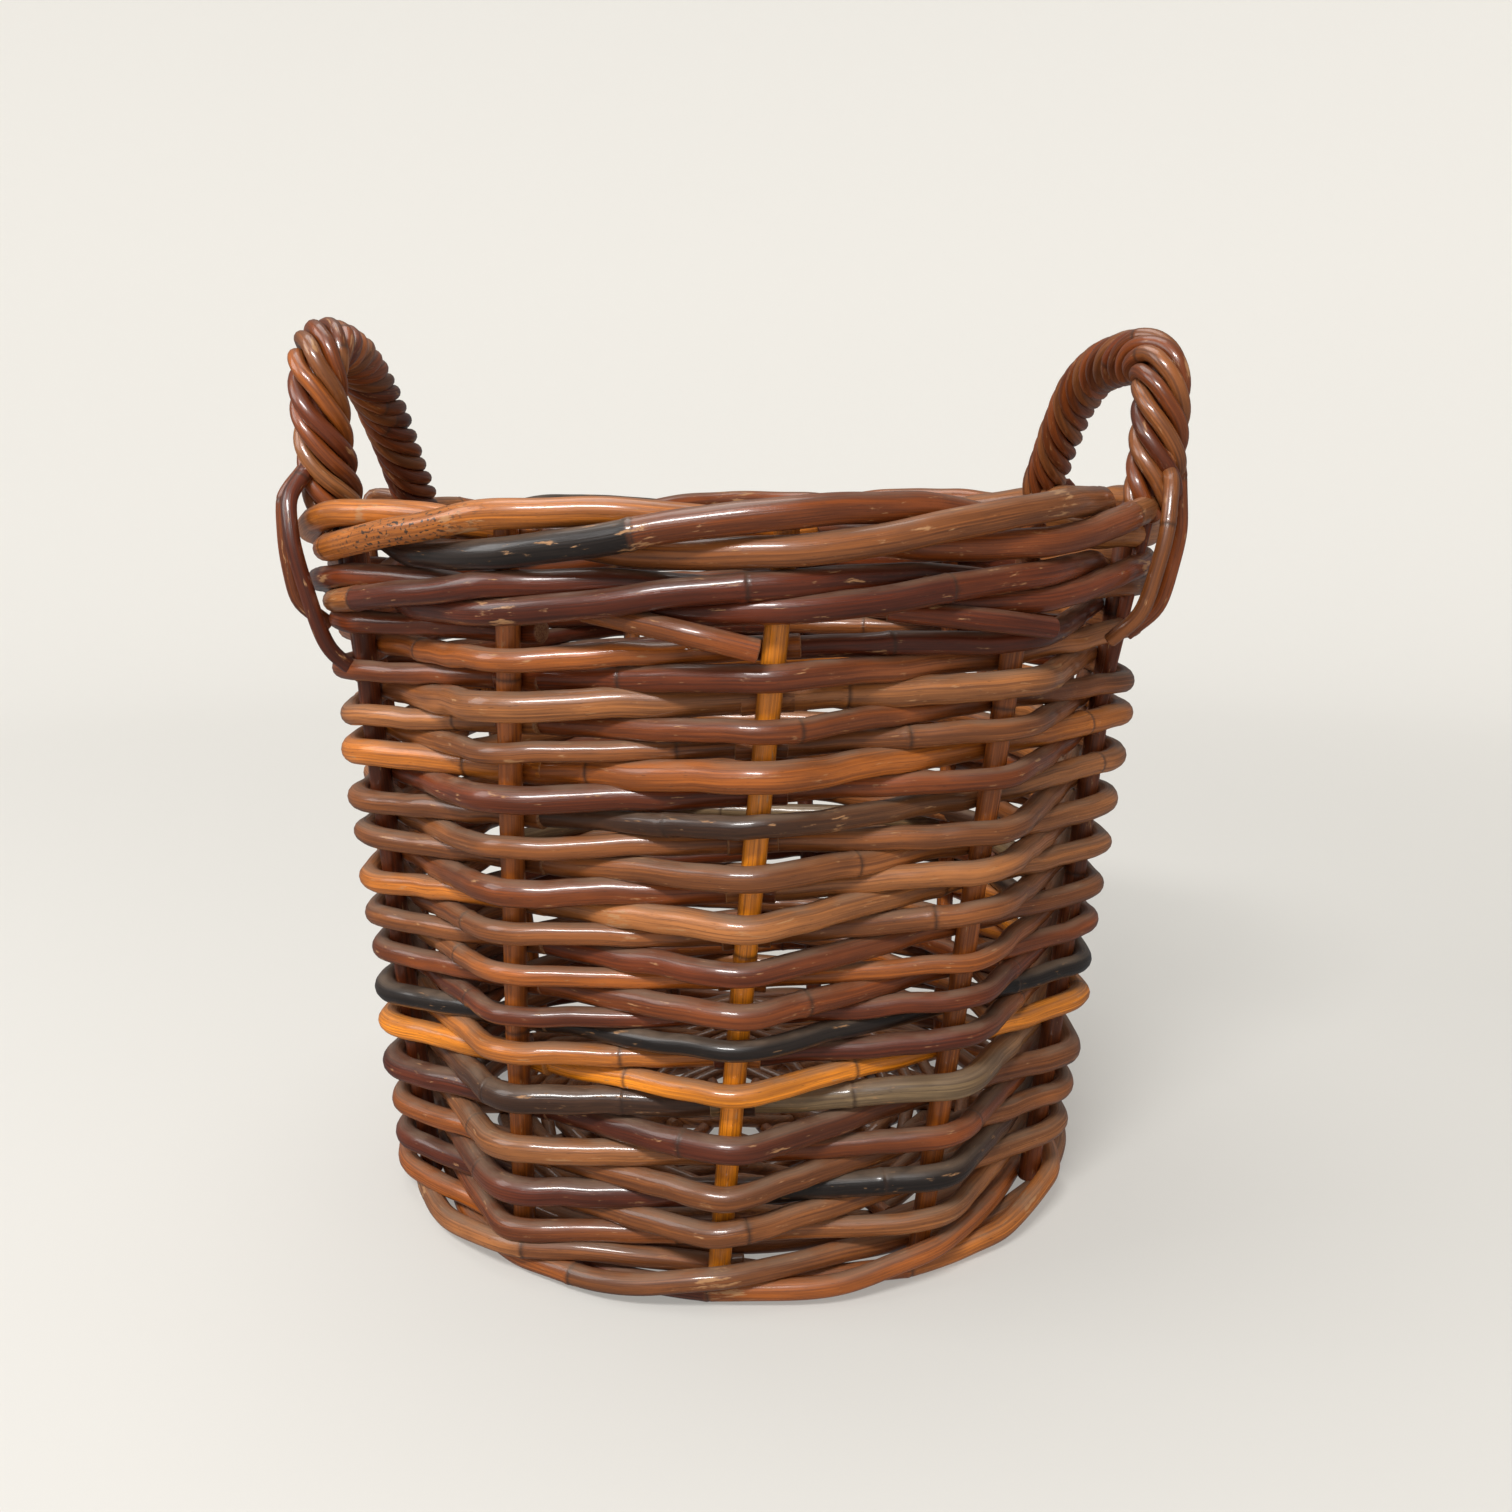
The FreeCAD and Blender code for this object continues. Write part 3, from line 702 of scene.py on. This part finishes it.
def foot_stops(rod_radius):
    """A stroke that lies on the floor under its first stake and climbs in front of its second."""
    beside = STAKE_RADIUS + rod_radius
    low = rod_radius
    return [(-0.12, -beside, low * 2), (0.0, -beside, low * 2), (0.5, -3 * MM, low), (1.0, 4.2 * MM, low),
            (1.5, 9.5 * MM, low + 3 * MM), (2.0, beside + 0.6 * MM, low + 10 * MM),
            (2.5, -2 * MM, low + 10.4 * MM), (3.0, -beside, low * 2), (3.12, -beside, low * 2)]


def make_band(start, stops, rod_radius, tilt, tones, material, slot, node_places):
    """A band of strokes. A stroke changes tone at its node, whose share of the length is given where it
    is seen and drawn elsewhere."""
    names = nodes_of(start)
    for turn, name in enumerate(names):
        canes = Canes()
        for stroke in range(STAKES):
            if stroke * len(names) // STAKES != turn:
                continue
            first = stroke * 3
            low_stake = (first + 1) % STAKES
            points = []
            for place, out, height in stops:
                angle = stake_line((first + place) % STAKES, height)[1]
                level = height + tilt * math.sin(angle) + dice.uniform(-0.5, 0.5) * MM
                radius, angle = stake_line(first + place, level)
                points.append(polar(radius + out + dice.uniform(-0.3, 0.3) * MM, angle, level))
            line, _ = spline_through(points, 2, 9)
            along = lengths_along(line)
            line[:, 2] += sway(along, 0.7 * MM, 0.11, stroke + 0.25)
            line[:, 2] += max(0.0, 1.08 * rod_radius - line[:, 2].min())
            words = tones[low_stake].split()
            early, late = (PALETTE[word] for word in words)
            seen = node_places.get(low_stake)
            change = seen if seen else dice.uniform(0.3, 0.7)
            nodes = [change * along[-1]]
            pairs = [(0, early), (change - 0.004, early), (change + 0.004, late), (1, late)]
            scuffs = [(dice.uniform(0.3, 0.8) * along[-1], dice.uniform(0.004, 0.012))]
            specks = [(0.53 * along[-1], 0.045)] if "speckled" in words else []
            canes.add(line, rod_radius, pairs, nodes, scuffs, specks)
        canes.piece(f"{name}_cane", material, slot, name)


def make_tails(material):
    """Cut ends of joined-in rods, outside the stakes and under the wale."""
    canes = Canes()
    low, _, _, rod_radius = WALE
    radius = 4.9 * MM
    level = low - rod_radius - radius
    outside = STAKE_RADIUS + radius
    front = [(0.30, -14, 9), (0.50, -4, 6.5), (0.72, 4.5, 2), (0.93, 5, -4)]
    side = [(1.42, -14, 9), (1.60, -4, 7), (1.80, 5, 4), (2.00, 8, 0.5)]
    for stops, tones in ((front, "brown russet"), (side, "red maroon")):
        points = []
        for index, out, lift in stops:
            line_radius, angle = stake_line(index, level + lift * MM)
            points.append(polar(line_radius + outside + out * MM, angle, level + lift * MM))
        line, _ = spline_through(points, 2, 9)
        early, late = (PALETTE[word] for word in tones.split())
        canes.add(line, radius, [(0, early), (1, late)])
    canes.piece("wale_tail_canes", material, "wale_cane", "wale_tail_ends")


# ---------------------------------------------------------------------------------------------------
# Handles
# ---------------------------------------------------------------------------------------------------

# Which way along the line from foot to foot a leg lies.
NEAR, FAR = -1, 1
# An arch is drawn in the upright plane through its two feet, from the near foot to the far one. A
# point is (share of the way along, share of the height), where the height is from foot to top.
LEFT_ARCH = [(0.03, -0.14), (0.01, 0.0), (-0.03, 0.31), (-0.04, 0.58), (-0.02, 0.81), (0.06, 0.94),
             (0.24, 0.95), (0.37, 0.9), (0.5, 0.79), (0.62, 0.64), (0.75, 0.42), (0.87, 0.19), (1.0, -0.05)]
RIGHT_ARCH = [(0.02, -0.2), (0.0, 0.0), (-0.005, 0.33), (0.0, 0.61), (0.03, 0.79), (0.12, 0.91),
              (0.25, 0.94), (0.44, 0.93), (0.58, 0.86), (0.71, 0.70), (0.84, 0.41), (0.92, 0.19),
              (1.0, -0.05)]
STRANDS = 6
STRAND_RADIUS = 3.75 * MM
CORE_RADIUS = 5.4 * MM
RING = CORE_RADIUS + STRAND_RADIUS
# Length of the arch in which a strand goes once round it.
LAY = 0.070
LEFT_TONES = ["russet brown", "red red", "orange russet", "brown maroon", "russet red", "tan russet"]
RIGHT_TONES = ["russet brown", "brown russet", "red russet", "brown brown", "russet russet", "brown russet"]
# A tie is its leg, the height in millimetres and the turn round the leg where it starts, how far it then
# turns round the basket, how many millimetres lower it tucks in, and its tone.
LEFT_TIES = [(NEAR, 366, 10, 1, 0, "russet"), (NEAR, 366, 40, 5, 22, "maroon"),
             (FAR, 350, 30, 2, 0, "brown"), (FAR, 350, 60, 3, 0, "red")]
RIGHT_TIES = [(NEAR, 374, 0, 1, 12, "russet"), (NEAR, 364, 70, -6, 12, "brown"),
              (FAR, 350, 30, -2, 0, "red"), (FAR, 350, 60, -3, 0, "russet")]
# The border's high level that the heights of the ties are meant for.
TIE_BORDER_LEVEL = 346.5 * MM


def handle_feet(side):
    """The middles of a handle's near and far foot, from the cut ends of its CAD strands, and its top."""
    points = cad_points(f"{side}_handle_strands")
    feet = []
    for half in (points[points[:, 1] < 0], points[points[:, 1] > 0]):
        lowest = half[half[:, 2] < half[:, 2].min() + 9 * MM]
        feet.append(np.array([middle(lowest[:, axis]) for axis in range(3)]))
    return feet, points[:, 2].max()


def arch_line(side, shape, lean):
    """The arch's middle line, which leans outwards towards its top, and the level way outwards."""
    (near, far), top = handle_feet(side)
    thickness = CORE_RADIUS + 2 * STRAND_RADIUS
    chord = (far - near) * [1, 1, 0]
    outward = np.cross(chord, [0, 0, 1.0])
    outward /= np.linalg.norm(outward)
    if outward.dot(near) < 0:
        outward = -outward
    foot_z = min(near[2], far[2])
    height = top - thickness - foot_z
    points = [near * [1, 1, 0] + chord * along + outward * lean * up + [0, 0, foot_z + height * up]
              for along, up in shape]
    return spline_through(points, 2, 8)[0], outward


def wound(line, outward, phase):
    """A strand's line, left-handed round the arch, which is stouter at its near foot."""
    along = lengths_along(line)
    stations = np.linspace(0, along[-1], 150)
    spine = np.stack([np.interp(stations, along, line[:, axis]) for axis in range(3)], axis=1)
    forward = np.gradient(spine, axis=0)
    forward /= np.linalg.norm(forward, axis=1)[:, None]
    across = np.cross(outward, forward)
    across /= np.linalg.norm(across, axis=1)[:, None]
    up = np.cross(forward, across)
    turn = phase - TAU * stations / LAY
    turn = turn + sway(stations, 0.09, 0.11, phase)
    reach = RING * (np.linspace(1.06, 0.93, len(stations)) + sway(stations, 0.03, 0.08, phase + 1))
    return spine + (across * np.cos(turn)[:, None] + up * np.sin(turn)[:, None]) * reach[:, None]


def make_handle(side, shape, lean, strand_tones, material):
    """The bow with its two pegs, and the strands round it, each with a node where its tone changes."""
    line, outward = arch_line(side, shape, lean)
    core = Canes()
    pegs = cad_points(f"{side}_handle_core")
    tone = PALETTE["red"]
    core.add(line, CORE_RADIUS, [(0, tone), (1, tone)])
    for foot, half in ((line[0], pegs[pegs[:, 1] < 0]), (line[-1], pegs[pegs[:, 1] > 0])):
        tip = half[half[:, 2] < half[:, 2].min() + 1 * MM].mean(axis=0)
        neck = foot * 0.9 + tip * 0.1
        peg, _ = spline_through([foot, neck, (neck + tip) / 2, tip], 2, 6)
        core.add(peg, 3 * MM, [(0, tone), (1, tone)])
    core.piece(f"{side}_handle_bow", material, "handle_cane", f"{side}_handle_core")
    rope = Canes(14)
    for number, words in enumerate(strand_tones):
        early, late = (PALETTE[word] for word in words.split())
        strand = wound(line, outward, TAU * number / STRANDS)
        total = lengths_along(strand)[-1]
        place = dice.uniform(0.25, 0.75)
        pairs = [(0, early), (place - 0.01, early), (place + 0.01, late), (1, late)]
        scuffs = [(dice.uniform(0.1, 0.9) * total, 0.005)]
        rope.add(strand, STRAND_RADIUS * dice.uniform(0.94, 1.04), pairs, [place * total], scuffs)
    rope.piece(f"{side}_handle_rope", material, "handle_cane", f"{side}_handle_strands")


def make_ties(side, shape, lean, ties, material):
    """Strands that leave the handle, bow out over the border and tuck in under the wale."""
    canes = Canes(14)
    line, outward = arch_line(side, shape, lean)
    chord = line[-1] - line[0]
    chord /= np.linalg.norm(chord)
    _, high, tilt, _ = BORDER
    for leg, start, around, turn, drop, word in ties:
        away = outward * math.cos(math.radians(around)) + chord * leg * math.sin(math.radians(around))
        leg_line = line[line.dot(chord) * leg > middle(line.dot(chord)) * leg]
        points = [leg_line[np.abs(leg_line[:, 2] - height * MM).argmin()] + away * (RING - inward * MM)
                  for height, inward in ((start + 13, 3), (start, 0.5))]
        angle = float(as_polar(points[-1])[1][0])
        lift = tilt * math.sin(angle) + high - TIE_BORDER_LEVEL
        for out, share, height in ((23, 0.4, 354), (26, 0.8, 331), (24 - 0.2 * drop, 1.0, 309 - 0.8 * drop),
                                   (12.5 - 0.3 * drop, 1.0, 297 - drop)):
            height = height * MM + lift
            radius = stake_line(0, height)[0] + out * MM
            points.append(polar(radius, angle + math.radians(turn * share), height))
        tie, _ = spline_through(points, 2, 9)
        tone = PALETTE[word]
        canes.add(tie, 3.5 * MM, [(0, tone), (1, tone * 0.8)], [dice.uniform(0.02, 0.06)])
    canes.piece(f"{side}_handle_tie_canes", material, "handle_cane", f"{side}_handle_ties")


# ---------------------------------------------------------------------------------------------------
# Base: the CAD rods are round rods of the right shape, so they stay and get cane's grain
# ---------------------------------------------------------------------------------------------------


def base_material(name, direction, tone_name):
    """Cane whose grain runs along x, along y or round the middle."""
    shade = Nodes(name)
    where = shade.make("ShaderNodeTexCoord").outputs["Object"]
    x, y, z = shade.split(where)
    if direction == "x":
        parts = (y, z, x)
    elif direction == "y":
        parts = (x, z, y)
    else:
        squares = (shade.math("MULTIPLY", x, x), shade.math("MULTIPLY", y, y))
        radius = shade.math("SQRT", shade.math("ADD", *squares))
        around = shade.math("MULTIPLY", shade.math("ARCTAN2", x, y), 0.12)
        parts = (radius, z, around)
    joined = shade.make("ShaderNodeCombineXYZ")
    for socket, part in zip(joined.inputs, parts):
        shade.plug(socket, part)
    tone = PALETTE[tone_name]
    tone = shade.mix(shade.noise(where, (25, 25, 25), 2), tuple(tone * 0.6), tuple(tone))
    return finish_cane(shade, joined.outputs[0], tone, 0.45, 0.5)


def make_base():
    round_cane = base_material("base_round_cane", "round", "tan")
    grains = {
        "base_hoop": base_material("base_hoop_cane", "round", "brown"),
        "base_weavers": round_cane,
        "base_binding": round_cane,
        "base_pierced_sticks": base_material("base_stick_cane_x", "x", "tan"),
        "base_threaded_sticks": base_material("base_stick_cane_y", "y", "orange"),
    }
    for name, material in grains.items():
        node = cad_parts[name]
        node.data.materials.clear()
        node.data.materials.append(material)


# ---------------------------------------------------------------------------------------------------
# Floor, light and camera
# ---------------------------------------------------------------------------------------------------


def make_stage():
    """A pale floor that curves up into a wall all round, so no horizon shows from any side."""
    floor_radius, bend_radius, wall_top = 1.7, 0.8, 2.6
    profile = [(radius, 0.0) for radius in np.linspace(0, floor_radius, 12)]
    for turn in np.linspace(0, math.pi / 2, 14)[1:]:
        profile.append((floor_radius + bend_radius * math.sin(turn), bend_radius * (1 - math.cos(turn))))
    profile.append((floor_radius + bend_radius, wall_top))
    sides = 96
    points = [(0, 0, 0)]
    faces = []
    for radius, height in profile[1:]:
        for i in range(sides):
            points.append((radius * math.cos(TAU * i / sides), radius * math.sin(TAU * i / sides), height))
    for i in range(sides):
        faces.append((0, 1 + i, 1 + (i + 1) % sides))
        for ring in range(len(profile) - 2):
            a, b = 1 + ring * sides, 1 + (ring + 1) * sides
            faces.append((a + i, b + i, b + (i + 1) % sides, a + (i + 1) % sides))
    mesh = bpy.data.meshes.new("studio_floor")
    mesh.from_pydata(points, [], faces)
    mesh.shade_smooth()
    shade = Nodes("studio_paper")
    away = shade.make("ShaderNodeVectorMath", operation="LENGTH")
    shade.plug(away.inputs[0], shade.make("ShaderNodeTexCoord").outputs["Object"])
    surface = shade.make("ShaderNodeBsdfPrincipled")
    surface.inputs["Base Color"].default_value = (0.40, 0.39, 0.37, 1)
    surface.inputs["Roughness"].default_value = 1.0
    surface.inputs["Specular IOR Level"].default_value = 0.0
    surface.inputs["Emission Color"].default_value = (1.0, 0.975, 0.92, 1)
    shade.plug(surface.inputs["Emission Strength"], shade.ramp(away.outputs["Value"], 0.3, 2.4, 0.29, 0.47))
    output = shade.make("ShaderNodeOutputMaterial")
    shade.tree.links.new(surface.outputs[0], output.inputs[0])
    mesh.materials.append(shade.material)
    floor = bpy.data.objects.new("studio_floor", mesh)
    floor.visible_glossy = False
    bpy.context.scene.collection.objects.link(floor)


def add_light(name, place, aim, power, width, height):
    lamp = bpy.data.lights.new(name, "AREA")
    lamp.shape = "RECTANGLE"
    lamp.size, lamp.size_y, lamp.energy = width, height, power
    lamp.color = (1.0, 0.995, 0.985)
    thing = bpy.data.objects.new(name, lamp)
    thing.location = place
    thing.rotation_euler = (Vector(aim) - Vector(place)).to_track_quat("-Z", "Y").to_euler()
    bpy.context.scene.collection.objects.link(thing)


def make_lights():
    aim = (0, 0, 0.2)
    add_light("key", (-0.6, -1.75, 2.0), aim, 54, 0.9, 0.32)
    add_light("side", (-1.5, -0.35, 1.15), aim, 9, 0.9, 0.9)
    add_light("top", (-0.3, 0.3, 2.3), aim, 16, 1.3, 1.3)
    world = bpy.data.worlds.new("studio_air")
    world.use_nodes = True
    air = world.node_tree.nodes["Background"]
    air.inputs["Color"].default_value = (*linear((250, 250, 250)), 1)
    air.inputs["Strength"].default_value = 0.14
    bpy.context.scene.world = world
    settings = bpy.context.scene.view_settings
    settings.view_transform = "Standard"
    settings.look = "None"


def make_camera():
    camera = bpy.data.cameras.new("camera")
    camera.sensor_width = 36
    camera.lens = 33.33
    camera.clip_start, camera.clip_end = 0.01, 20
    thing = bpy.data.objects.new("camera", camera)
    thing.location = (0, -0.7356, 0.3547)
    thing.rotation_euler = (math.radians(90 - 10.8), 0, math.radians(-0.94))
    bpy.context.scene.collection.objects.link(thing)
    bpy.context.scene.camera = thing


# ---------------------------------------------------------------------------------------------------
# The basket
# ---------------------------------------------------------------------------------------------------

BORDER = fit_band("border_")
WALE = fit_band("upper_wale_")

make_camera()
make_stage()
make_lights()
make_stakes(cane_material("stake_cane", 0.34, 0.2))
make_weavers(cane_material("weaver_cane", 0.30, 0.62))

wale_low, wale_high, wale_tilt, wale_rod = WALE
wale_cane = cane_material("wale_cane", 0.26, 0.45)
wale_radius = wale_rod + 0.4 * MM
make_band("upper_wale_", waling_stops(wale_low, wale_high, wale_radius), wale_radius, wale_tilt, WALE_TONES,
          wale_cane, "wale_cane", {10: 0.42, 0: 0.62, 1: 0.52})
make_tails(wale_cane)

border_low, border_high, border_tilt, border_rod = BORDER
border_cane = cane_material("border_cane", 0.30, 0.42)
border_radius = border_rod + 0.2 * MM
make_band("border_", waling_stops(border_low, border_high, border_radius), border_radius, border_tilt,
          BORDER_TONES, border_cane, "border_cane", {10: 0.36, 0: 0.50, 1: 0.82})

foot_radius = 4.9 * MM
make_band("foot_wale_", foot_stops(foot_radius), foot_radius, 0, FOOT_TONES,
          cane_material("foot_cane", 0.36, 0.6), "foot_cane", {})

handle_cane = cane_material("handle_cane", 0.30, 0.25)
make_handle("left", LEFT_ARCH, 3 * MM, LEFT_TONES, handle_cane)
make_handle("right", RIGHT_ARCH, 2 * MM, RIGHT_TONES, handle_cane)
make_ties("left", LEFT_ARCH, 3 * MM, LEFT_TIES, handle_cane)
make_ties("right", RIGHT_ARCH, 2 * MM, RIGHT_TIES, handle_cane)
make_base()
